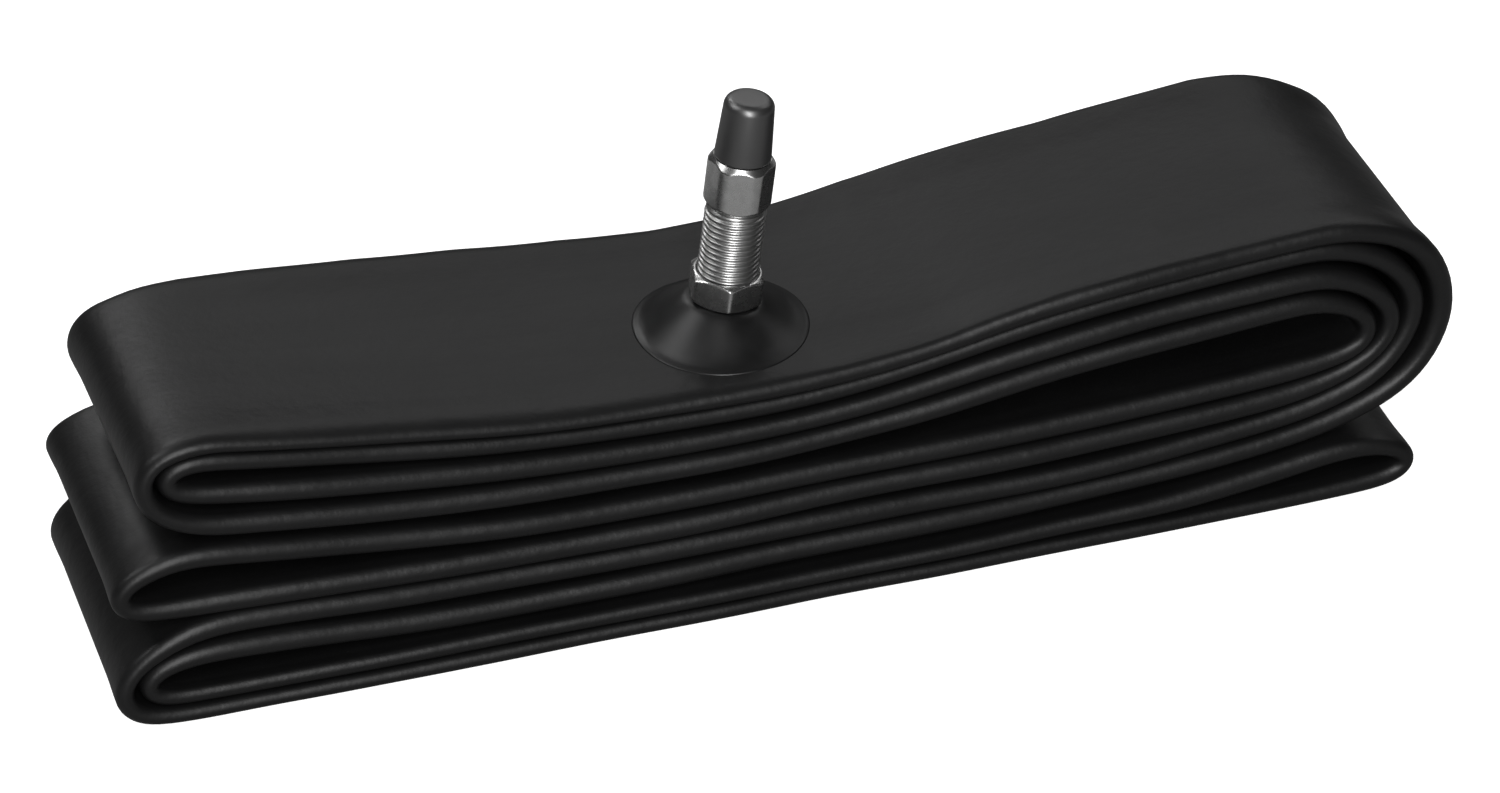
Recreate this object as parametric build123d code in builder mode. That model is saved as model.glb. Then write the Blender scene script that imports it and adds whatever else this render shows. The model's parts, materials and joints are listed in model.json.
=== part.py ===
from build123d import *
import os
from math import cos, radians, sin

# Bicycle inner tube, pressed flat and folded into ten strands, with a ball valve on the top strand.
# Millimetres. +Z up, X along the folded bundle, Y across it.
# The origin is under the middle of the bundle, on the plane it rests on.

# --- tube: driving dimensions ---
LAY_FLAT_WIDTH = 39.8
WALL = 0.9
TRAPPED_AIR = 0.4
EDGE_ROUND = 0.95
LONGEST_TANGENT = 5.0
TANGENT_SHARE = 0.45

# --- valve: driving dimensions, heights measured along the valve's axis from the tube's skin ---
VALVE_X = -5.0
VALVE_Y = -4.7
VALVE_LEAN = 6.8
PUNCHED_HOLE_R = 2.0

PAD_R = 11.6
PAD_THICK = 0.3
CONE_FOOT_R = 11.0
CONE_TOP_R = 5.0
CONE_TOP = 4.3

STEM_R = 4.0
STEM_FOOT = 0.9
FOOT_FLANGE_R = 5.6
FOOT_FLANGE_THICK = 0.8
STEM_SHOULDER = 18.1
STEM_TOP = 22.9
STEM_TOP_R = 3.6
STEM_BORE_R = 2.45
STEM_BORE_FLOOR = 12.4
STEM_AIRWAY_R = 1.2
SEAT_MOUTH_R = 3.1
SEAT_DEPTH = 1.2
RELIEF_START = 8.45
RELIEF_LENGTH = 0.75
RELIEF_R = 3.7

RUNNING_CLEARANCE = 0.05
NUT_CHAMFER = 0.6

RIM_NUT_FLATS = 9.0
RIM_NUT_CORNER_R = 5.1
RIM_NUT_START = 4.35
RIM_NUT_TOP = 8.35
RIM_NUT_TURN = 18.0

COLLAR_FLATS = 8.2
COLLAR_CORNER_R = 4.4
COLLAR_START = 18.3
COLLAR_TOP = 25.4
COLLAR_TURN = 42.0
COLLAR_LIP = 1.1
COLLAR_MOUTH_R = 2.75

INSERT_TIP_R = 2.6
INSERT_TIP_TOP = 32.3
INSERT_NECK_R = 2.3
INSERT_NECK_TOP = 26.0
INSERT_FLANGE_R = 3.4
INSERT_SHANK_R = 2.3
INSERT_FOOT = 13.0
INSERT_AIRWAY_R = 0.8
FLANGE_START = 22.95
FLANGE_TOP = 24.25

SEAL_START = 21.3
SEAL_FOOT_R = 2.4
SEAL_TOP_R = 2.95

BALL_R = 1.5
BALL_TRAVEL = 1.2
CHAMBER_R = 1.75
CHAMBER_FLOOR = 14.2
CHAMBER_CONE = 1.0
BALL_PLAY = 0.02
BALL_BELOW_CONE = 0.4
RETAINER_HOLE_R = 0.7
RETAINER_SLOT_WIDE = 0.6
RETAINER_SLOT_DEEP = 0.5

CAP_START = 25.45
CAP_TOP = 34.0
CAP_FOOT_R = 3.7
CAP_TOP_R = 3.3
CAP_ROUND = 1.0
CAP_ROOF = 1.1

FLAT = 2 * WALL + TRAPPED_AIR
GROUND = FLAT / 2

# --- the route of the tube's middle line, as (x, z) corners of a closed path ---
# Strands count downwards from the top one; each fold is named after the two strands that it joins.
strand_1 = [(68, 41.7), (38, 39.5), (12, 34.5), (-22, 34.2), (-46, 36.6), (-70, 40.4)]
fold_1_4 = [(-78.5, 41.9), (-84.6, 39.8), (-84.9, 33.9), (-79.5, 29.4)]
strand_4 = [(-70, 28.2), (-46, 25.6), (-19, 24.4), (9, 25.0), (38, 28.9), (66, 31.3)]
fold_4_5 = [(73.0, 31.6), (78.2, 29.6), (80.8, 26.6), (79.6, 23.6), (75.5, 22.1)]
strand_5 = [(66, 20.9), (38, 19.6), (9, 19.3), (-19, 19.0), (-46, 20.5), (-70, 23.5)]
fold_5_6 = [(-80.5, 24.9), (-86.3, 23.1), (-88.8, 21.2), (-88.5, 18.8), (-85.5, 17.4)]
strand_6 = [(-70, 17.0), (-46, 15.8), (-19, 15.2), (9, 15.8), (38, 15.9), (66, 17.2)]
fold_6_3 = [(74.0, 18.6), (79.4, 20.7), (83.0, 24.0), (83.9, 27.9), (80.4, 32.4), (74.2, 35.4)]
strand_3 = [(66, 35.1), (38, 32.6), (9, 28.3), (-19, 27.8), (-46, 29.5), (-70, 32.6)]
fold_3_2 = [(-79.0, 33.8), (-82.2, 35.2), (-82.3, 37.5), (-78.6, 38.9)]
strand_2 = [(-70, 37.3), (-46, 33.4), (-19, 31.1), (9, 31.4), (38, 36.3), (66, 38.6)]
fold_2_7 = [(74.5, 39.2), (81.7, 36.6), (86.8, 31.0), (87.0, 25.3), (83.0, 18.7), (75.8, 15.3)]
strand_7 = [(66, 13.2), (38, 11.4), (9, 11.6), (-19, 11.5), (-46, 12.1), (-70, 13.5)]
fold_7_10 = [(-79.5, 13.6), (-86.3, 10.7), (-89.7, 7.0), (-89.0, 2.9), (-84.5, GROUND)]
fold_10_9 = [(80.0, GROUND), (85.3, 2.4), (86.0, 4.9), (82.8, 7.2), (76.5, 7.6)]
strand_9 = [(66, 5.6), (38, 3.8), (-46, 3.7)]
fold_9_8 = [(-79.0, 3.6), (-85.2, 3.9), (-86.9, 6.1), (-85.2, 8.3), (-80.0, 9.8)]
strand_8 = [(-70, 9.4), (-46, 7.5), (-19, 7.4), (9, 7.9), (38, 8.1), (66, 9.9)]
fold_8_1 = [(78.2, 12.4), (86.0, 17.7), (89.5, 25.8), (89.4, 33.5), (85.0, 39.6), (76.5, 42.3)]

route = (
    strand_1 + fold_1_4 + strand_4 + fold_4_5 + strand_5 + fold_5_6 + strand_6 + fold_6_3
    + strand_3 + fold_3_2 + strand_2 + fold_2_7 + strand_7 + fold_7_10 + fold_10_9
    + strand_9 + fold_9_8 + strand_8 + fold_8_1
)


def bends(distance):
    """Each corner's arc, as its two ends and first direction, this far inside the middle line."""
    found = []
    for before, here, after in zip(route[-1:] + route[:-1], route, route[1:] + route[:1]):
        run_in = Vector(*here) - Vector(*before)
        run_out = Vector(*after) - Vector(*here)
        tangent = min(TANGENT_SHARE * min(run_in.length, run_out.length), LONGEST_TANGENT)
        ahead = run_in.normalized()
        onward = run_out.normalized()
        start = Vector(*here) - ahead * tangent + ahead.rotate(Axis.Z, 90) * distance
        end = Vector(*here) + onward * tangent + onward.rotate(Axis.Z, 90) * distance
        found.append((start, end, ahead))
    return found


def band(thickness):
    """The side outline of the folded strip, this thick about its middle line."""
    with BuildSketch(Plane.XZ) as outline:
        for distance, mode in ((-thickness / 2, Mode.ADD), (thickness / 2, Mode.SUBTRACT)):
            corners = bends(distance)
            with BuildLine():
                for (start, end, ahead), following in zip(corners, corners[1:] + corners[:1]):
                    TangentArc(start, end, tangent=ahead)
                    Line(end, following[0])
            make_face(mode=mode)
    return outline.sketch


# --- the planes that the valve is built on ---
run_start, run_end = Vector(*strand_1[3]), Vector(*strand_1[2])
run_slope = (run_end.Y - run_start.Y) / (run_end.X - run_start.X)
run_z = run_start.Y + run_slope * (VALVE_X - run_start.X)
skin = Plane(
    origin=(VALVE_X, VALVE_Y, run_z),
    x_dir=(1, 0, run_slope),
    z_dir=(-run_slope, 0, 1),
).offset(FLAT / 2)
lean = radians(VALVE_LEAN)
valve = Plane(origin=skin.origin, x_dir=(cos(lean), 0, -sin(lean)), z_dir=(sin(lean), 0, cos(lean)))
valve_axis = Axis(valve.origin, valve.z_dir)
profile_plane = Plane(origin=valve.origin, x_dir=valve.x_dir, z_dir=-valve.y_dir)


def turned(points):
    """A face on the valve's profile plane, from (radius, height) points."""
    with BuildSketch(profile_plane) as profile:
        with BuildLine():
            Polyline(*points, close=True)
        make_face()
    return profile.sketch


# --- tube: the strip with its long edges rounded, hollow, and punched under the valve ---
with BuildPart() as tube:
    extrude(band(FLAT), amount=LAY_FLAT_WIDTH / 2, both=True)
    fillet(tube.faces().filter_by(Axis.Y).edges(), radius=EDGE_ROUND)
    extrude(band(TRAPPED_AIR), amount=LAY_FLAT_WIDTH / 2 - WALL, both=True, mode=Mode.SUBTRACT)
    with BuildSketch(skin.offset(-WALL - TRAPPED_AIR / 2)):
        Circle(PUNCHED_HOLE_R)
    extrude(amount=2 * WALL, mode=Mode.SUBTRACT)
tube.part.label = "tube"

# --- valve stem: foot flange, rim thread, narrower collar thread, and a bore with a tapered mouth ---
stem_outside = [
    (0, STEM_FOOT),
    (FOOT_FLANGE_R, STEM_FOOT),
    (FOOT_FLANGE_R, STEM_FOOT + FOOT_FLANGE_THICK),
    (STEM_R, STEM_FOOT + FOOT_FLANGE_THICK),
    (STEM_R, RELIEF_START),
    (RELIEF_R, RELIEF_START),
    (RELIEF_R, RELIEF_START + RELIEF_LENGTH),
    (STEM_R, RELIEF_START + RELIEF_LENGTH),
    (STEM_R, STEM_SHOULDER),
    (STEM_TOP_R, STEM_SHOULDER),
    (STEM_TOP_R, STEM_TOP),
    (0, STEM_TOP),
]
stem_bore = [
    (0, STEM_FOOT),
    (STEM_AIRWAY_R, STEM_FOOT),
    (STEM_AIRWAY_R, STEM_BORE_FLOOR),
    (STEM_BORE_R, STEM_BORE_FLOOR),
    (STEM_BORE_R, STEM_TOP - SEAT_DEPTH),
    (SEAT_MOUTH_R, STEM_TOP),
    (0, STEM_TOP),
]
with BuildPart() as valve_stem:
    revolve(turned(stem_outside), axis=valve_axis)
    revolve(turned(stem_bore), axis=valve_axis, mode=Mode.SUBTRACT)
valve_stem.part.label = "valve_stem"

# --- valve base: a feathered pad on the skin, and a cone that leans with the stem moulded into it ---
with BuildPart() as valve_base:
    with BuildSketch(skin):
        Circle(PAD_R)
    extrude(amount=PAD_THICK)
    with BuildSketch(skin.offset(PAD_THICK)):
        Circle(CONE_FOOT_R)
    with BuildSketch(valve.offset(CONE_TOP)):
        Circle(CONE_TOP_R)
    loft()
    revolve(turned(stem_outside), axis=valve_axis, mode=Mode.SUBTRACT)
    with BuildSketch(skin.offset(-PAD_THICK)):
        Circle(PUNCHED_HOLE_R)
    extrude(amount=STEM_FOOT + 1.5 * PAD_THICK, mode=Mode.SUBTRACT)
valve_base.part.label = "valve_base"


def nut_blank(across_flats, corner_radius, start, top, turn):
    """A hexagonal blank on the valve's axis, with its corners turned down and chamfered."""
    with BuildPart() as blank:
        with BuildSketch(valve.offset(start)):
            RegularPolygon(across_flats / 2, 6, major_radius=False, rotation=turn)
        extrude(amount=top - start)
        envelope = [
            (0, start),
            (corner_radius - NUT_CHAMFER, start),
            (corner_radius, start + NUT_CHAMFER),
            (corner_radius, top - NUT_CHAMFER),
            (corner_radius - NUT_CHAMFER, top),
            (0, top),
        ]
        revolve(turned(envelope), axis=valve_axis, mode=Mode.INTERSECT)
    return blank.part


# --- rim nut ---
rim_nut_blank = nut_blank(RIM_NUT_FLATS, RIM_NUT_CORNER_R, RIM_NUT_START, RIM_NUT_TOP, RIM_NUT_TURN)
with BuildPart() as rim_nut:
    add(rim_nut_blank)
    with BuildSketch(valve.offset(RIM_NUT_START)):
        Circle(STEM_R + RUNNING_CLEARANCE)
    extrude(amount=RIM_NUT_TOP - RIM_NUT_START, mode=Mode.SUBTRACT)
rim_nut.part.label = "rim_nut"

# --- collar nut: runs on the stem's narrow thread, and its lip holds the insert's flange down ---
collar_blank = nut_blank(COLLAR_FLATS, COLLAR_CORNER_R, COLLAR_START, COLLAR_TOP, COLLAR_TURN)
with BuildPart() as collar_nut:
    add(collar_blank)
    with BuildSketch(valve.offset(COLLAR_START)):
        Circle(STEM_TOP_R + RUNNING_CLEARANCE)
    extrude(amount=COLLAR_TOP - COLLAR_LIP - COLLAR_START, mode=Mode.SUBTRACT)
    with BuildSketch(valve.offset(COLLAR_START)):
        Circle(COLLAR_MOUTH_R)
    extrude(amount=COLLAR_TOP - COLLAR_START, mode=Mode.SUBTRACT)
collar_nut.part.label = "collar_nut"

# --- insert: pump tip, clamping flange, and a shank with the ball chamber in it ---
ball_centre = CHAMBER_FLOOR + BALL_R + BALL_PLAY
chamber_top = ball_centre + BALL_TRAVEL + BALL_BELOW_CONE
with BuildPart() as valve_insert:
    revolve(
        turned(
            [
                (0, INSERT_FOOT),
                (INSERT_SHANK_R, INSERT_FOOT),
                (INSERT_SHANK_R, FLANGE_START),
                (INSERT_FLANGE_R, FLANGE_START),
                (INSERT_FLANGE_R, FLANGE_TOP),
                (INSERT_NECK_R, FLANGE_TOP),
                (INSERT_NECK_R, INSERT_NECK_TOP),
                (INSERT_TIP_R, INSERT_NECK_TOP),
                (INSERT_TIP_R, INSERT_TIP_TOP),
                (0, INSERT_TIP_TOP),
            ]
        ),
        axis=valve_axis,
    )
    revolve(
        turned(
            [
                (0, INSERT_FOOT),
                (CHAMBER_R, INSERT_FOOT),
                (CHAMBER_R, chamber_top),
                (INSERT_AIRWAY_R, chamber_top + CHAMBER_CONE),
                (INSERT_AIRWAY_R, INSERT_TIP_TOP),
                (0, INSERT_TIP_TOP),
            ]
        ),
        axis=valve_axis,
        mode=Mode.SUBTRACT,
    )
valve_insert.part.label = "valve_insert"

# --- insert seal: a taper ring on the shank, under the flange ---
with BuildPart() as insert_seal:
    revolve(
        turned(
            [
                (INSERT_SHANK_R, SEAL_START),
                (SEAL_FOOT_R, SEAL_START),
                (SEAL_FOOT_R, STEM_TOP - SEAT_DEPTH),
                (SEAL_TOP_R, FLANGE_START),
                (INSERT_SHANK_R, FLANGE_START),
            ]
        ),
        axis=valve_axis,
    )
insert_seal.part.label = "insert_seal"

# --- check ball, lying on its retainer ---
with BuildPart() as check_ball:
    with Locations(valve.offset(ball_centre)):
        Sphere(BALL_R)
check_ball.part.label = "check_ball"

# --- ball retainer: a plug pressed into the shank, slotted so that the ball can't stop its hole ---
with BuildPart() as ball_retainer:
    with BuildSketch(valve.offset(INSERT_FOOT)):
        Circle(CHAMBER_R)
        Circle(RETAINER_HOLE_R, mode=Mode.SUBTRACT)
    extrude(amount=CHAMBER_FLOOR - INSERT_FOOT)
    with BuildSketch(valve.offset(CHAMBER_FLOOR)):
        Rectangle(2 * CHAMBER_R, RETAINER_SLOT_WIDE)
    extrude(amount=-RETAINER_SLOT_DEEP, mode=Mode.SUBTRACT)
ball_retainer.part.label = "ball_retainer"

# --- dust cap ---
with BuildPart() as dust_cap:
    revolve(
        turned(
            [
                (0, CAP_START),
                (CAP_FOOT_R, CAP_START),
                (CAP_TOP_R, CAP_TOP),
                (0, CAP_TOP),
            ]
        ),
        axis=valve_axis,
    )
    fillet(dust_cap.faces().sort_by(valve_axis)[-1].edges(), radius=CAP_ROUND)
    with BuildSketch(valve.offset(CAP_START)):
        Circle(INSERT_TIP_R + RUNNING_CLEARANCE)
    extrude(amount=CAP_TOP - CAP_ROOF - CAP_START, mode=Mode.SUBTRACT)
dust_cap.part.label = "dust_cap"

os.makedirs("parts", exist_ok=True)
export_step(tube.part, "parts/tube.step")
export_step(valve_base.part, "parts/valve_base.step")
export_step(valve_stem.part, "parts/valve_stem.step")
export_step(rim_nut.part, "parts/rim_nut.step")
export_step(collar_nut.part, "parts/collar_nut.step")
export_step(valve_insert.part, "parts/valve_insert.step")
export_step(insert_seal.part, "parts/insert_seal.step")
export_step(check_ball.part, "parts/check_ball.step")
export_step(ball_retainer.part, "parts/ball_retainer.step")
export_step(dust_cap.part, "parts/dust_cap.step")
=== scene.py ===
import json
from math import cos, radians, sin, tau

import bmesh
import bpy
import numpy as np
from mathutils import Matrix, Vector


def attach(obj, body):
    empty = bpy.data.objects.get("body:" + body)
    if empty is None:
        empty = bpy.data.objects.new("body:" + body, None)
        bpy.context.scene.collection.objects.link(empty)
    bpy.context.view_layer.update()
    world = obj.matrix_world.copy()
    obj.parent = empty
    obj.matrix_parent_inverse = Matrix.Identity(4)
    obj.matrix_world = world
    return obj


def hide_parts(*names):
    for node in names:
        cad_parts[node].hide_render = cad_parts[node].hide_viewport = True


# Bicycle inner tube, pressed flat and folded into ten strands, with a ball valve on the top strand.
# Sizes are in millimetres and are multiplied by MM where they reach Blender, which works in metres.
MM = 0.001

# --- tube ---
WIDTH = 39.8
FLAT = 2.2
GROUND = FLAT / 2
EDGE_THINNEST = 1.95
EDGE_THICKEST = 3.25
EDGE_GAP = 0.32
EDGE_BLEND = 6.5
TIGHT_FOLD = 3.0
OPEN_FOLD = 14.0
OWN_STRETCH = 12.0
LONG_NOSE = 1.9
LONG_NOSE_FROM_TO = (62.0, 136.0)
ROUTE_STEP = 0.5
LONG_RUN = 15.0
CORNER_PULL = 0.9

# --- valve, heights measured along its axis from the tube's skin ---
STEM_MOUNT_HEIGHT = 13.65
PAD_R = 11.6
PAD_BURIED = 0.25
PAD_FOLLOWS_FROM_TO = (5.5, 10.5)
CONE_TOP_R = 5.0
CONE_TOP = 4.3
CONE_BORE_R = 3.5
STEM_R = 4.0
STEM_SHOULDER = 18.1
STEM_TOP = 22.9
STEM_TOP_R = 3.6
STEM_BORE_R = 2.45
STEM_BORE_FLOOR = 12.4
STEM_AIRWAY_R = 1.2
RIM_THREAD_PITCH = 0.79
RIM_THREAD_DEPTH = 0.4
COLLAR_THREAD_PITCH = 0.6
COLLAR_THREAD_DEPTH = 0.3
TIP_THREAD_PITCH = 0.7
TIP_THREAD_DEPTH = 0.32
THREAD_PROUD = 0.02
THREAD_BURIED = 0.05
SHARP_ANGLE = 35.0
NUT_SEGMENTS = 240
NUT_END_ZONE = 1.6
NUT_EASE = 0.035
CAP_FOOT_R = 3.7
CAP_TOP_R = 3.3
CAP_TOP = 34.0
CAP_ROUND = 1.3

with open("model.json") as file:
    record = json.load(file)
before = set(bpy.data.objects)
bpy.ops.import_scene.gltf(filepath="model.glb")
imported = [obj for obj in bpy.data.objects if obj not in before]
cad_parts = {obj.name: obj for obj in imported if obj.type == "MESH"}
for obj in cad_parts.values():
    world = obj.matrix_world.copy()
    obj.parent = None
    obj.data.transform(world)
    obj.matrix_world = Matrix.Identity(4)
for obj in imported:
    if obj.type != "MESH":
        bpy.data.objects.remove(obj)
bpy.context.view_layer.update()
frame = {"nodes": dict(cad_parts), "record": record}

# The strip's middle line as (x, z) corners: ten strands, numbered from the top down, and their folds.
strand_1 = [(68, 41.7), (38, 39.5), (12, 34.5), (-22, 34.2), (-46, 36.6), (-70, 40.4)]
fold_1_4 = [(-78.5, 41.9), (-85.0, 39.6), (-85.2, 33.7), (-79.5, 29.4)]
strand_4 = [(-70, 28.2), (-46, 25.6), (-19, 24.4), (9, 25.0), (38, 28.9), (66, 31.3)]
fold_4_5 = [(73.0, 31.6), (78.2, 29.6), (80.8, 26.6), (79.6, 23.6), (75.5, 22.1)]
strand_5 = [(66, 20.9), (38, 19.6), (9, 19.3), (-19, 19.0), (-46, 20.5), (-70, 23.5)]
fold_5_6 = [(-80.5, 24.9), (-86.5, 23.0), (-89.2, 20.9), (-89.0, 18.5), (-85.5, 17.2)]
strand_6 = [(-70, 17.0), (-46, 15.8), (-19, 15.2), (9, 15.8), (38, 15.9), (66, 17.2)]
fold_6_3 = [(74.0, 18.6), (79.4, 20.7), (83.0, 24.0), (83.9, 27.9), (80.4, 32.4), (74.2, 35.4)]
strand_3 = [(66, 35.1), (38, 32.6), (9, 28.3), (-19, 27.8), (-46, 29.5), (-70, 32.6)]
fold_3_2 = [(-79.0, 33.8), (-82.2, 35.2), (-82.3, 37.5), (-78.6, 38.9)]
strand_2 = [(-70, 37.3), (-46, 33.4), (-19, 31.1), (9, 31.4), (38, 36.3), (66, 38.6)]
fold_2_7 = [(74.5, 39.2), (81.7, 36.6), (86.8, 31.0), (87.0, 25.3), (83.0, 18.7), (75.8, 15.3)]
strand_7 = [(66, 13.2), (38, 11.4), (9, 11.6), (-19, 11.5), (-46, 12.1), (-70, 13.5)]
fold_7_10 = [(-79.5, 13.6), (-86.3, 10.7), (-89.7, 7.0), (-89.0, 2.9), (-84.5, GROUND)]
strand_10 = [(-66, GROUND), (-30, GROUND), (40, GROUND)]
fold_10_9 = [(81.0, GROUND), (86.6, 2.4), (87.3, 4.9), (83.4, 7.2), (76.5, 7.6)]
strand_9 = [(66, 5.6), (38, 3.8), (-46, 3.7)]
fold_9_8 = [(-79.0, 3.6), (-85.2, 3.9), (-86.9, 6.1), (-85.2, 8.3), (-80.0, 9.8)]
strand_8 = [(-70, 9.4), (-46, 7.5), (-19, 7.4), (9, 7.9), (38, 8.1), (66, 9.9)]
fold_8_1 = [(78.2, 12.4), (87.2, 17.0), (91.2, 25.2), (90.1, 33.2), (85.4, 39.4), (76.5, 42.3)]

# The route in order, with how far each strand's middle is set back, towards +Y.
stretches = [
    (strand_1, 0.0), (fold_1_4, 0.0), (strand_4, -0.1), (fold_4_5, 0.1),
    (strand_5, 0.2), (fold_5_6, 0.2), (strand_6, -0.2), (fold_6_3, 0.0),
    (strand_3, 0.3), (fold_3_2, 0.6), (strand_2, 1.0), (fold_2_7, 0.6),
    (strand_7, 0.1), (fold_7_10, -0.7), (strand_10, -1.0), (fold_10_9, -0.8),
    (strand_9, -0.9), (fold_9_8, -0.4), (strand_8, 0.0), (fold_8_1, 0.2),
]

# How far the top strand's back edge stands above its front edge, at places along X. The strands below
# follow it less and less, down to the floor.
BACK_LIFT_X = (-90, -80, -71, -62, -48, -34, -20, -7, 6, 19, 33, 47, 60, 69, 77, 84, 92)
BACK_LIFT = (-2.6, -2.4, -0.8, 0.2, 1.5, 1.9, 1.5, 0.3, 0.3, 1.0, 0.5, 0.1, 0.7, 1.1, 0.2, -0.8, -1.0)
BACK_LIFT_FULL_AT = 36.0


# --- meshes ---
def mesh_object(name, points, faces):
    """A smoothly shaded object from points in millimetres."""
    mesh = bpy.data.meshes.new(name)
    mesh.from_pydata((np.asarray(points) * MM).tolist(), [], faces)
    mesh.shade_smooth()
    piece = bpy.data.objects.new(name, mesh)
    bpy.context.scene.collection.objects.link(piece)
    return piece


def ring_faces(rows, columns):
    """Quads of a grid that closes on itself both ways: each row is a ring, and the last meets the first."""
    faces = []
    for row in range(rows):
        after = (row + 1) % rows
        for column in range(columns):
            beside = (column + 1) % columns
            faces.append((row * columns + column, row * columns + beside,
                          after * columns + beside, after * columns + column))
    return faces


def face_out(piece):
    """Turns every face of a closed piece outwards."""
    mesh = bmesh.new()
    mesh.from_mesh(piece.data)
    bmesh.ops.remove_doubles(mesh, verts=mesh.verts, dist=1e-7)
    loose = [edge for edge in mesh.edges if not edge.link_faces]
    bmesh.ops.delete(mesh, geom=loose, context="EDGES")
    bmesh.ops.recalc_face_normals(mesh, faces=mesh.faces)
    mesh.to_mesh(piece.data)
    mesh.free()
    return piece


def eased(piece, width):
    """Rounds the piece's sharp edges, by this width in millimetres."""
    bevel = piece.modifiers.new("eased edges", "BEVEL")
    bevel.limit_method = "ANGLE"
    bevel.angle_limit = radians(25.0)
    bevel.width = width * MM
    bevel.segments = 2
    bevel.use_clamp_overlap = True
    graph = bpy.context.evaluated_depsgraph_get()
    mesh = bpy.data.meshes.new_from_object(piece.evaluated_get(graph))
    piece.modifiers.clear()
    piece.data = mesh
    mesh.shade_smooth()
    mesh.set_sharp_from_angle(angle=radians(SHARP_ANGLE))
    return piece


def lathe(name, outline, segments=96):
    """A closed solid turned from (radius, height) points, listed once round its cross-section."""
    outline = np.array(outline, float)
    turns = np.arange(segments) * tau / segments
    points = [(radius * cos(turn), radius * sin(turn), height)
              for radius, height in outline for turn in turns]
    return face_out(mesh_object(name, points, ring_faces(len(outline), segments)))


def threaded(name, low, high, crest_r, depth, pitch, segments=72, steps=9):
    """A thread as a sleeve round its core: a helix of rounded ridges that fades in and out."""
    heights = np.arange(low, high, pitch / steps)
    turns = np.arange(segments) / segments
    grid_z, grid_turn = np.meshgrid(heights, turns, indexing="ij")
    ridge = np.abs(2 * ((grid_z / pitch - grid_turn) % 1.0) - 1)
    ridge = np.clip(1.5 * ridge - 0.25, 0, 1)
    ridge = ridge * ridge * (3 - 2 * ridge)
    fade = np.clip(np.minimum(grid_z - low, heights[-1] - grid_z) / (0.8 * pitch), 0, 1)
    buried = np.full((1, segments), crest_r - depth - THREAD_BURIED)
    radius = np.vstack([buried, crest_r - depth + depth * ridge * fade, buried])
    levels = np.r_[heights[0], heights, heights[-1]]
    rings = np.stack([radius * np.cos(turns * tau), radius * np.sin(turns * tau),
                      np.repeat(levels[:, None], segments, axis=1)], axis=-1)
    return face_out(mesh_object(name, rings.reshape(-1, 3), ring_faces(len(levels), segments)))


def joined(name, parts):
    """One piece from several, under the first one's material."""
    mesh = bmesh.new()
    for part in parts:
        mesh.from_mesh(part.data)
    whole = parts[0]
    mesh.to_mesh(whole.data)
    mesh.free()
    for part in parts[1:]:
        bpy.data.objects.remove(part)
    whole.name = name
    whole.data.name = name
    return whole


# --- the strip's middle line ---
def route_line():
    """The strip's smooth closed line, as evenly spaced (x, set-back, z) points, and its length.

    A curve of this kind cuts its corners, so those between two long runs are first pulled outwards.
    """
    corners = np.array([(x, back, z) for stretch, back in stretches for x, z in stretch])
    before = np.roll(corners, 1, axis=0)
    after = np.roll(corners, -1, axis=0)
    runs = np.minimum(np.linalg.norm(corners - before, axis=1), np.linalg.norm(after - corners, axis=1))
    pull = CORNER_PULL * (before - 2 * corners + after) / 8
    corners = corners - np.where(runs[:, None] > LONG_RUN, pull, 0)
    curve = bpy.data.curves.new("route", "CURVE")
    curve.dimensions = "3D"
    spline = curve.splines.new("NURBS")
    spline.points.add(len(corners) - 1)
    for point, corner in zip(spline.points, corners):
        point.co = (*corner, 1)
    spline.use_cyclic_u = True
    spline.order_u = 3
    spline.resolution_u = 24
    holder = bpy.data.objects.new("route", curve)
    line = bpy.data.meshes.new_from_object(holder)
    points = np.array([vertex.co for vertex in line.vertices])
    bpy.data.objects.remove(holder)
    points = np.vstack([points, points[:1]])
    along = np.r_[0, np.cumsum(np.linalg.norm(np.diff(points, axis=0), axis=1))]
    count = int(along[-1] / ROUTE_STEP)
    even = np.arange(count) * along[-1] / count
    points = np.stack([np.interp(even, along, points[:, k]) for k in range(3)], axis=1)
    points[:, 0] = softened(points[:, 0], 1.5)
    points[:, 1] = softened(points[:, 1], 10.0)
    points[:, 2] = softened(points[:, 2], 1.5)
    return points, along[-1]


def softened(values, reach):
    """Values round the closed route, blurred over this many millimetres."""
    waves = np.fft.rfftfreq(len(values), ROUTE_STEP)
    return np.fft.irfft(np.fft.rfft(values) * np.exp(-2 * (np.pi * waves * reach) ** 2), len(values))


def wander(even, length, seed, shortest, longest, height):
    """A gentle seeded unevenness round the route, between these wavelengths, this high."""
    draws = np.random.default_rng(seed)
    total = np.zeros_like(even)
    for count in range(int(length / longest), int(length / shortest) + 1, 3):
        total += draws.normal() * np.sin(tau * (count * even / length + draws.random()))
    return height * total / np.abs(total).max()


def nearest_strand(line, length):
    """At each point, the distance to the nearest stretch that isn't its own neighbourhood."""
    x, z = line[:, 0], line[:, 2]
    position = np.arange(len(line)) * length / len(line)
    nearest = []
    for here in range(len(line)):
        apart = np.abs(position - position[here])
        others = np.minimum(apart, length - apart) >= OWN_STRETCH
        nearest.append(np.hypot(x[others] - x[here], z[others] - z[here]).min())
    return np.array(nearest)


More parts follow.
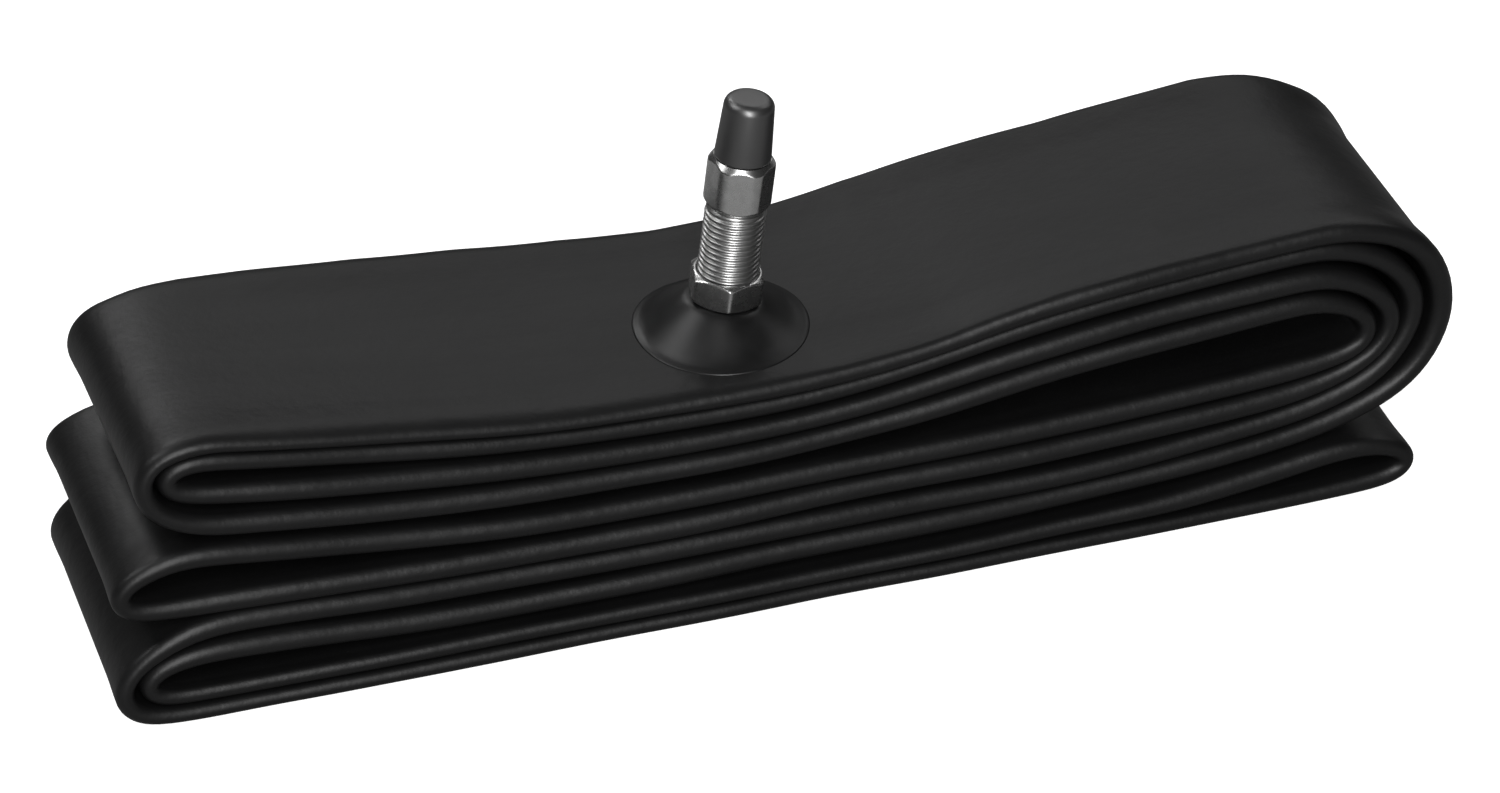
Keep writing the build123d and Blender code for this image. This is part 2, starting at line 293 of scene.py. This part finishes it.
def strip_shape():
    """The route with its direction, half thicknesses and tilt, sampled closer where it bends harder."""
    line, length = route_line()
    count = len(line)
    step = length / count
    ahead = (np.roll(line, -1, axis=0) - np.roll(line, 1, axis=0))[:, [0, 2]]
    ahead /= np.linalg.norm(ahead, axis=1)[:, None]
    turning = np.cross(np.roll(ahead, 1, axis=0), np.roll(ahead, -1, axis=0)) / (2 * step)
    bend_r = 1 / np.maximum(softened(np.abs(turning), 1.0), 1e-4)
    even = np.arange(count) * step
    openness = np.clip((bend_r - TIGHT_FOLD) / (OPEN_FOLD - TIGHT_FOLD), 0, 1)
    openness = softened(openness, 5.0)
    edge = EDGE_THINNEST + (EDGE_THICKEST - EDGE_THINNEST) * openness
    edge = np.minimum(edge, nearest_strand(line, length) - EDGE_GAP)
    edge = np.minimum(edge, 2 * line[:, 2])
    edge = np.clip(softened(edge, 4.0), EDGE_THINNEST - 0.1, EDGE_THICKEST)
    edge += wander(even, length, 3, 12, 60, 0.06)
    middle = np.minimum(FLAT / 2, edge / 2 - 0.03)
    nose = 1 + (LONG_NOSE - 1) * softened(np.interp(even, LONG_NOSE_FROM_TO, (1.0, 1.0), 0, 0), 10.0)
    tilt = wander(even, length, 5, 60, 300, 0.10) / (WIDTH / 2)
    front = wander(even, length, 7, 25, 140, 0.16)
    back = wander(even, length, 11, 25, 140, 0.25)
    spacing = np.clip(0.11 * bend_r, 0.35, 1.6)
    share = np.r_[0, np.cumsum(step / spacing)]
    rows = int(share[-1])
    places = np.interp(np.arange(rows) * share[-1] / rows, share, np.arange(count + 1))
    wrapped = np.arange(count + 1)

    def at(values):
        return np.interp(places, wrapped, np.r_[values, values[:1]])

    sampled = {name: at(values) for name, values in (
        ("x", line[:, 0]), ("back_set", line[:, 1]), ("z", line[:, 2]), ("ahead_x", ahead[:, 0]),
        ("ahead_z", ahead[:, 1]), ("edge", edge / 2), ("nose", nose), ("middle", middle), ("tilt", tilt),
        ("front", front), ("back", back))}
    sampled["along"] = places * step
    sampled["length"] = length
    return sampled


def section_columns():
    """How each point round the strip's section is placed.

    y is across * inner half width + blend * EDGE_BLEND + round * edge thickness. The height off the middle
    line is lift * (middle + (edge - middle) * swell).
    """
    def swell(share):
        return 0.5 - 0.5 * cos(np.pi * share)

    half = [(share, 0, 0, 0, 1) for share in np.linspace(0, 1, 6)[:-1]]
    half += [(1, share, 0, swell(share), 1) for share in np.linspace(0, 1, 9)[:-1]]
    half += [(1, 1, cos(turn), 1, sin(turn)) for turn in np.linspace(np.pi / 2, 0, 7)]
    lower = [(a, b, c, w, -f) for a, b, c, w, f in half[:-1]][::-1]
    right = half + lower
    left = [(-a, -b, -c, w, f) for a, b, c, w, f in right[1:-1]][::-1]
    return np.array(right + left)


def make_tube():
    """The flattened tube as one closed skin, thicker along its two folded edges than between them."""
    shape = strip_shape()
    columns = section_columns()
    across, blend, rounding, swell, lift = columns.T
    edge, middle = shape["edge"][:, None], shape["middle"][:, None]
    nose = edge * shape["nose"][:, None]
    y = across * (WIDTH / 2 - nose - EDGE_BLEND) + blend * EDGE_BLEND + rounding * nose
    off = lift * (middle + (edge - middle) * swell) + y * shape["tilt"][:, None]
    ragged = np.where(y < 0, shape["front"][:, None], shape["back"][:, None]) * np.abs(y / (WIDTH / 2)) ** 3
    points = np.stack([
        shape["x"][:, None] + shape["ahead_z"][:, None] * off,
        shape["back_set"][:, None] + y + ragged,
        shape["z"][:, None] - shape["ahead_x"][:, None] * off,
    ], axis=-1)
    raised = np.interp(points[..., 0], BACK_LIFT_X, BACK_LIFT)
    raised *= np.clip(points[..., 2] / BACK_LIFT_FULL_AT, 0, 1)
    points[..., 2] += raised * np.clip(points[..., 1] / WIDTH + 0.5, 0, 1)
    rows, count = points.shape[:2]
    tube = mesh_object("tube_skin", points.reshape(-1, 3), ring_faces(rows, count))
    around = np.r_[0, np.cumsum(np.linalg.norm(np.diff(points[0], axis=0), axis=1))]
    around = np.r_[around, around[-1] + np.linalg.norm(points[0, 0] - points[0, -1])]
    along = np.r_[shape["along"], shape["length"]]
    layer = tube.data.uv_layers.new(name="strip")
    row, column = np.divmod(np.arange(rows * count), count)
    corners = [(row, column), (row, column + 1), (row + 1, column + 1), (row + 1, column)]
    uv = np.stack([np.stack([along[r], around[c]], axis=-1) for r, c in corners], axis=1) * MM
    layer.data.foreach_set("uv", uv.reshape(-1))
    tube.data.flip_normals()
    return tube


# --- the valve's own frame ---
stem_mount = next(mount for mount in frame["record"]["mounts"] if mount["name"] == "stem")
valve_up = Vector(stem_mount["axis"]).normalized()
valve_foot = Vector(stem_mount["pos_m"]) - valve_up * STEM_MOUNT_HEIGHT * MM
valve_right = Vector((0, 1, 0)).cross(valve_up).normalized()
valve_frame = Matrix.Translation(valve_foot) @ Matrix(
    (valve_right, Vector((0, 1, 0)), valve_up)).transposed().to_4x4()


def place_on_valve(piece):
    """Moves a piece from the valve's own frame to the object's frame, in its mesh."""
    piece.data.transform(valve_frame)
    return piece


# --- materials ---
def procedural(name):
    """An empty node material: its tree, its shader, and a function that adds a node to it."""
    material = bpy.data.materials.new(name)
    material.use_nodes = True
    tree = material.node_tree
    shader = tree.nodes["Principled BSDF"]

    def add(kind, inputs=(), **settings):
        node = tree.nodes.new(kind)
        for key, value in settings.items():
            setattr(node, key, value)
        for key, value in dict(inputs).items():
            if isinstance(value, bpy.types.NodeSocket):
                tree.links.new(value, node.inputs[key])
            else:
                node.inputs[key].default_value = value
        return node

    return material, tree, shader, add


def link(tree, source, target):
    tree.links.new(source, target)


def ramp(add, value, stops):
    """A colour ramp over a value, from (position, colour) stops."""
    node = add("ShaderNodeValToRGB", {"Fac": value})
    elements = node.color_ramp.elements
    while len(elements) < len(stops):
        elements.new(0.5)
    for element, (position, shade) in zip(elements, stops):
        element.position = position
        element.color = (*shade, 1)
    return node.outputs["Color"]


def spread(add, value, low, high):
    """A value between 0 and 1 mapped to a range."""
    node = add("ShaderNodeMapRange", {"Value": value, "To Min": low, "To Max": high})
    return node.outputs["Result"]


def mixed(add, first, second, share):
    """Two values mixed, with this share of the second."""
    node = add("ShaderNodeMix", {"Factor": share, "A": first, "B": second}, data_type="FLOAT")
    return node.outputs["Result"]


def noise(add, vector, scale, detail, roughness):
    node = add("ShaderNodeTexNoise", {
        "Vector": vector, "Scale": scale, "Detail": detail, "Roughness": roughness})
    return node.outputs["Fac"]


def stretched(add, vector, scale):
    node = add("ShaderNodeMapping", {"Vector": vector, "Scale": scale})
    return node.outputs["Vector"]


def bumped(add, tree, shader, layers):
    """Bump nodes in a chain, from (height, depth in millimetres, strength) layers."""
    normal = None
    for height, depth, strength in layers:
        inputs = {"Height": height, "Distance": depth * MM, "Strength": strength}
        if normal:
            inputs["Normal"] = normal
        normal = add("ShaderNodeBump", inputs).outputs["Normal"]
    link(tree, normal, shader.inputs["Normal"])


RUBBER_TONES = [(0.3, (0.0035, 0.0035, 0.0036)), (0.7, (0.0065, 0.0065, 0.0067))]
CAP_TONES = [(0.3, (0.009, 0.009, 0.0092)), (0.7, (0.014, 0.014, 0.0142))]


def butyl_rubber():
    """Extruded butyl: near black, satin, with faint lengthwise drawing marks and a mottled bloom."""
    material, tree, shader, add = procedural("butyl_rubber")
    strip = add("ShaderNodeUVMap", uv_map="strip").outputs["UV"]
    place = add("ShaderNodeTexCoord").outputs["Object"]
    marks = noise(add, stretched(add, strip, (14.0, 1100.0, 1.0)), 1.0, 4.0, 0.55)
    broad = noise(add, stretched(add, strip, (25.0, 160.0, 1.0)), 1.0, 3.0, 0.5)
    bloom = noise(add, place, 90.0, 4.0, 0.6)
    crinkle = noise(add, place, 420.0, 3.0, 0.55)
    grain = noise(add, place, 5200.0, 2.0, 0.5)
    shade = mixed(add, marks, bloom, 0.45)
    link(tree, ramp(add, shade, RUBBER_TONES), shader.inputs["Base Color"])
    gloss = mixed(add, broad, bloom, 0.5)
    link(tree, spread(add, gloss, 0.36, 0.52), shader.inputs["Roughness"])
    shader.inputs["Specular IOR Level"].default_value = 0.35
    bumped(add, tree, shader, [
        (broad, 0.12, 0.25), (crinkle, 0.22, 0.4), (marks, 0.03, 0.5), (grain, 0.012, 0.5)])
    return material


def moulded_rubber():
    """The valve base: pressed rubber, a little smoother than the tube, with a fine even grain."""
    material, tree, shader, add = procedural("moulded_rubber")
    place = add("ShaderNodeTexCoord").outputs["Object"]
    bloom = noise(add, place, 260.0, 3.0, 0.55)
    grain = noise(add, place, 6500.0, 2.0, 0.5)
    link(tree, ramp(add, bloom, RUBBER_TONES), shader.inputs["Base Color"])
    link(tree, spread(add, bloom, 0.34, 0.44), shader.inputs["Roughness"])
    shader.inputs["Specular IOR Level"].default_value = 0.4
    bumped(add, tree, shader, [(bloom, 0.05, 0.3), (grain, 0.010, 0.5)])
    return material


def plated(name, shade, smoothest, roughest):
    """Nickel over brass: bright, with turning marks round the axis and small dull patches."""
    material, tree, shader, add = procedural(name)
    place = add("ShaderNodeTexCoord").outputs["Object"]
    turned_marks = noise(add, stretched(add, place, (350.0, 350.0, 9000.0)), 1.0, 3.0, 0.6)
    patches = noise(add, place, 700.0, 4.0, 0.6)
    dark = tuple(0.82 * value for value in shade)
    link(tree, ramp(add, patches, [(0.32, dark), (0.62, shade)]), shader.inputs["Base Color"])
    link(tree, spread(add, patches, roughest, smoothest), shader.inputs["Roughness"])
    shader.inputs["Metallic"].default_value = 1.0
    bumped(add, tree, shader, [(patches, 0.02, 0.25), (turned_marks, 0.004, 0.5)])
    return material


def cap_plastic():
    """Moulded black plastic with a soft gloss."""
    material, tree, shader, add = procedural("cap_plastic")
    place = add("ShaderNodeTexCoord").outputs["Object"]
    flow = noise(add, stretched(add, place, (300.0, 300.0, 120.0)), 1.0, 3.0, 0.5)
    grain = noise(add, place, 4500.0, 2.0, 0.5)
    link(tree, ramp(add, flow, CAP_TONES), shader.inputs["Base Color"])
    link(tree, spread(add, flow, 0.36, 0.46), shader.inputs["Roughness"])
    shader.inputs["IOR"].default_value = 1.7
    shader.inputs["Specular IOR Level"].default_value = 1.0
    bumped(add, tree, shader, [(flow, 0.03, 0.3), (grain, 0.006, 0.4)])
    return material


def plain_finish(name, low, high, smoothest, roughest, metallic=0.0):
    """A finish for the small pieces inside the valve: two close shades and an uneven gloss."""
    material, tree, shader, add = procedural(name)
    place = add("ShaderNodeTexCoord").outputs["Object"]
    patches = noise(add, place, 900.0, 3.0, 0.55)
    link(tree, ramp(add, patches, [(0.35, low), (0.65, high)]), shader.inputs["Base Color"])
    link(tree, spread(add, patches, smoothest, roughest), shader.inputs["Roughness"])
    shader.inputs["Metallic"].default_value = metallic
    bumped(add, tree, shader, [(patches, 0.015, 0.3)])
    return material


RUBBER = butyl_rubber()
MOULDED = moulded_rubber()
STEM_METAL = plated("plated_stem", (0.46, 0.46, 0.456), 0.28, 0.44)
NUT_METAL = plated("plated_nuts", (0.66, 0.66, 0.655), 0.20, 0.34)
PLASTIC = cap_plastic()
BRASS = plain_finish("brass", (0.62, 0.43, 0.17), (0.78, 0.57, 0.27), 0.22, 0.36, 1.0)
SEAL = plain_finish("seal_rubber", (0.030, 0.030, 0.032), (0.045, 0.045, 0.047), 0.45, 0.6)
BALL = plain_finish("ball_plastic", (0.55, 0.54, 0.50), (0.68, 0.67, 0.63), 0.25, 0.35)


def finished(piece, material, body, slot, *nodes):
    """Gives a piece its material and body, and hides the CAD nodes it stands for."""
    piece.data.materials.clear()
    piece.data.materials.append(material)
    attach(piece, body)
    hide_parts(*nodes)


def repaint(node, material):
    """A CAD node that stays gets its finished material."""
    piece = frame["nodes"][node]
    piece.data.materials.clear()
    piece.data.materials.append(material)


# --- tube ---
tube = make_tube()
finished(tube, RUBBER, "folded_tube", "butyl_rubber", "tube")


# --- valve base ---
def skin_height(surface, x, y):
    """The height of the tube's top skin over a point, in metres."""
    hit, place, _, _ = surface.ray_cast(Vector((x, y, 0.2)), Vector((0, 0, -1)))
    return place.z if hit else valve_foot.z


def make_valve_base(surface):
    """A rubber cone on a thin feathered patch that lies on the tube's skin."""
    outline = [(PAD_R, -PAD_BURIED), (PAD_R, 0.03), (11.45, 0.14), (11.2, 0.24), (10.9, 0.36), (10.5, 0.57),
               (9.9, 0.92), (9.0, 1.5), (8.0, 2.18), (7.0, 2.87), (6.2, 3.42), (5.6, 3.84), (5.2, 4.1),
               (CONE_TOP_R - 0.05, 4.22), (CONE_TOP_R - 0.35, CONE_TOP), (CONE_BORE_R, CONE_TOP),
               (CONE_BORE_R, -PAD_BURIED)]
    base = lathe("valve_cone", outline, 128)
    for vertex in base.data.vertices:
        share = np.interp(vertex.co.xy.length / MM, PAD_FOLLOWS_FROM_TO, (0, 1))
        above = vertex.co.z
        vertex.co = valve_frame @ vertex.co
        vertex.co.z += share * (skin_height(surface, vertex.co.x, vertex.co.y) + above - vertex.co.z)
    return base


valve_cone = make_valve_base(tube)
finished(valve_cone, MOULDED, "folded_tube", "moulded_rubber", "valve_base")


# --- valve stem and insert ---
def make_stem():
    """The stem: a rim thread up to the shoulder, a narrower collar thread above, and an open mouth."""
    core_r = STEM_R - RIM_THREAD_DEPTH - THREAD_PROUD
    neck_r = STEM_TOP_R - COLLAR_THREAD_DEPTH - THREAD_PROUD
    core = lathe("stem_core", [
        (STEM_AIRWAY_R, 1.0), (5.6, 1.0), (5.6, 1.7), (core_r, 1.7), (core_r, STEM_SHOULDER),
        (neck_r, STEM_SHOULDER), (neck_r, STEM_TOP), (3.1, STEM_TOP), (STEM_BORE_R, 21.7),
        (STEM_BORE_R, STEM_BORE_FLOOR), (STEM_AIRWAY_R, STEM_BORE_FLOOR)])
    rim_thread = threaded("rim_thread", 3.6, STEM_SHOULDER, STEM_R, RIM_THREAD_DEPTH, RIM_THREAD_PITCH)
    collar_thread = threaded("collar_thread", STEM_SHOULDER, STEM_TOP - 0.15, STEM_TOP_R - 0.05,
                             COLLAR_THREAD_DEPTH, COLLAR_THREAD_PITCH)
    return place_on_valve(joined("stem_threaded", [core, rim_thread, collar_thread]))


finished(make_stem(), STEM_METAL, "folded_tube", "plated_brass", "valve_stem")


def make_insert():
    """The insert: a flange under the collar's lip and a threaded tip that the dust cap covers."""
    core = eased(lathe("insert_core", [
        (0.8, 17.0), (0.8, 32.3), (2.0, 32.3), (2.25, 32.05), (2.25, 24.25), (3.4, 24.25), (3.4, 22.95),
        (2.9, 22.95), (2.3, 21.3), (2.3, 13.0), (1.75, 13.0), (1.75, 16.0)]), 0.06)
    tip_thread = threaded("tip_thread", 26.0, 32.05, 2.6, TIP_THREAD_DEPTH, TIP_THREAD_PITCH)
    return place_on_valve(joined("insert_threaded", [core, tip_thread]))


finished(make_insert(), BRASS, "insert", "brass", "valve_insert")


# --- nuts and cap ---
def hex_nut(name, flats, corner_r, low, high, turn, face_r, slope, inside):
    """A hexagon nut with softened edges, turned at both ends from a round face at this slope in degrees.

    inside lists the (radius, height) points of its bore, from the top face down to the bottom one.
    """
    turns = np.arange(NUT_SEGMENTS) * tau / NUT_SEGMENTS
    off_flat = (turns - radians(turn)) % radians(60) - radians(30)
    near_end = np.linspace(0, NUT_END_ZONE, 17)
    heights = np.r_[low + near_end, np.linspace(low + NUT_END_ZONE, high - NUT_END_ZONE, 5)[1:-1],
                    (high - near_end)[::-1]]
    run_out = np.minimum(heights - low, high - heights)[:, None] / np.tan(radians(slope))
    limits = np.stack(np.broadcast_arrays(
        flats / 2 / np.cos(off_flat)[None, :], corner_r, face_r + run_out))
    outside = -NUT_EASE * np.log(np.exp(-limits / NUT_EASE).sum(axis=0))
    radii = np.vstack([outside, np.repeat([[radius] for radius, _ in inside], NUT_SEGMENTS, axis=1)])
    levels = np.r_[heights, [height for _, height in inside]]
    rings = np.stack([radii * np.cos(turns), radii * np.sin(turns),
                      np.repeat(levels[:, None], NUT_SEGMENTS, axis=1)], axis=-1)
    nut = face_out(mesh_object(name, rings.reshape(-1, 3), ring_faces(len(levels), NUT_SEGMENTS)))
    nut.data.set_sharp_from_angle(angle=radians(SHARP_ANGLE))
    return place_on_valve(nut)


rim_nut = hex_nut("rim_nut_hexagon", 9.0, 5.1, 4.35, 8.35, 18, 4.35, 32, [
    (4.25, 8.35), (4.03, 8.1), (4.03, 4.6), (4.25, 4.35)])
finished(rim_nut, NUT_METAL, "rim_nut", "plated_nut", "rim_nut")

collar = hex_nut("collar_hexagon", 8.2, 4.4, 18.3, 25.4, 42, 3.75, 50, [
    (2.95, 25.4), (2.75, 25.2), (2.75, 24.3), (3.65, 24.3), (3.65, 18.5), (3.7, 18.3)])
finished(collar, NUT_METAL, "collar_nut", "plated_nut", "collar_nut")


def make_cap():
    """The dust cap: a slightly tapered plastic thimble with a rounded crown and a plain lip."""
    crown = [(CAP_TOP_R - CAP_ROUND + CAP_ROUND * sin(turn), CAP_TOP - CAP_ROUND + CAP_ROUND * cos(turn))
             for turn in np.linspace(0, np.pi / 2, 11)]
    outline = [(0, CAP_TOP), (0.9, CAP_TOP)] + crown
    outline += [(CAP_FOOT_R, 25.75), (CAP_FOOT_R - 0.03, 25.55), (CAP_FOOT_R - 0.15, 25.45), (2.78, 25.45),
                (2.66, 25.6), (2.66, 32.6), (0, 32.7)]
    return place_on_valve(lathe("dust_cap_moulded", outline, 112))


finished(make_cap(), PLASTIC, "dust_cap", "cap_plastic", "dust_cap")

repaint("insert_seal", SEAL)
repaint("check_ball", BALL)
repaint("ball_retainer", BRASS)

# --- floor, light and camera ---
FLOOR_SIZE = 4.0
FLOOR_SEEN = (0.9, 0.9, 0.9)
FLOOR_GLOW = 0.8
FLOOR_BOUNCE = (0.3, 0.3, 0.3)
CAMERA_TARGET = Vector((0.5, 0.0, 19.66)) * MM
CAMERA_DISTANCE = 819.5 * MM
CAMERA_AZIMUTH = -18.0
CAMERA_ELEVATION = 34.9
CAMERA_LENS = 149.47


def direction(azimuth, elevation):
    """Unit vector towards a place round the object: azimuth 0 is the front, -Y, and 90 is +X."""
    azimuth, elevation = radians(azimuth), radians(elevation)
    return Vector((sin(azimuth) * cos(elevation), -cos(azimuth) * cos(elevation), sin(elevation)))


def looking(thing, place, target):
    thing.location = place
    thing.rotation_euler = (Vector(target) - Vector(place)).to_track_quat("-Z", "Y").to_euler()
    bpy.context.scene.collection.objects.link(thing)


def softbox(name, azimuth, elevation, distance, width, height, power):
    """A rectangular light facing the object: angles in degrees, sizes in metres and power in watts."""
    lamp = bpy.data.lights.new(name, "AREA")
    lamp.shape = "RECTANGLE"
    lamp.size = width
    lamp.size_y = height
    lamp.energy = power
    looking(bpy.data.objects.new(name, lamp), CAMERA_TARGET + direction(azimuth, elevation) * distance,
            CAMERA_TARGET)


def make_floor():
    """A floor that looks near white and sends less light back to the object than it shows."""
    floor = mesh_object("floor", [], [])
    half = FLOOR_SIZE / 2
    floor.data.from_pydata([(-half, -half, 0), (half, -half, 0), (half, half, 0), (-half, half, 0)], [],
                           [(0, 1, 2, 3)])
    material, tree, shader, add = procedural("pale_floor")
    seen = add("ShaderNodeLightPath").outputs["Is Camera Ray"]
    shade = add("ShaderNodeMix", {"Factor": seen, "A": (*FLOOR_BOUNCE, 1), "B": (*FLOOR_SEEN, 1)},
                data_type="RGBA")
    link(tree, shade.outputs["Result"], shader.inputs["Base Color"])
    glow = add("ShaderNodeMath", {0: seen, 1: FLOOR_GLOW}, operation="MULTIPLY").outputs["Value"]
    link(tree, glow, shader.inputs["Emission Strength"])
    shader.inputs["Emission Color"].default_value = (1, 1, 1, 1)
    shader.inputs["Roughness"].default_value = 0.9
    shader.inputs["Specular IOR Level"].default_value = 0.0
    floor.data.materials.append(material)


make_floor()
softbox("key", -13, 31, 1.1, 0.24, 1.05, 12.8)
softbox("back", 162, 38, 1.4, 1.4, 0.7, 3.1)
softbox("back left", 250, 52, 1.2, 0.5, 0.5, 3.6)
softbox("left edge", 197, 38, 1.2, 0.12, 0.40, 1.3)
softbox("right", 110, 43, 1.2, 0.25, 0.4, 0.7)

world = bpy.data.worlds.new("studio")
world.use_nodes = True
world.node_tree.nodes["Background"].inputs["Color"].default_value = (0.02, 0.02, 0.02, 1)
world.node_tree.nodes["Background"].inputs["Strength"].default_value = 1.0
bpy.context.scene.world = world
bpy.context.scene.view_settings.view_transform = "Standard"

camera_data = bpy.data.cameras.new("camera")
camera_data.sensor_width = 36.0
camera_data.lens = CAMERA_LENS
camera_data.clip_start = 0.01
camera = bpy.data.objects.new("camera", camera_data)
looking(camera, CAMERA_TARGET + direction(CAMERA_AZIMUTH, CAMERA_ELEVATION) * CAMERA_DISTANCE, CAMERA_TARGET)
bpy.context.scene.camera = camera
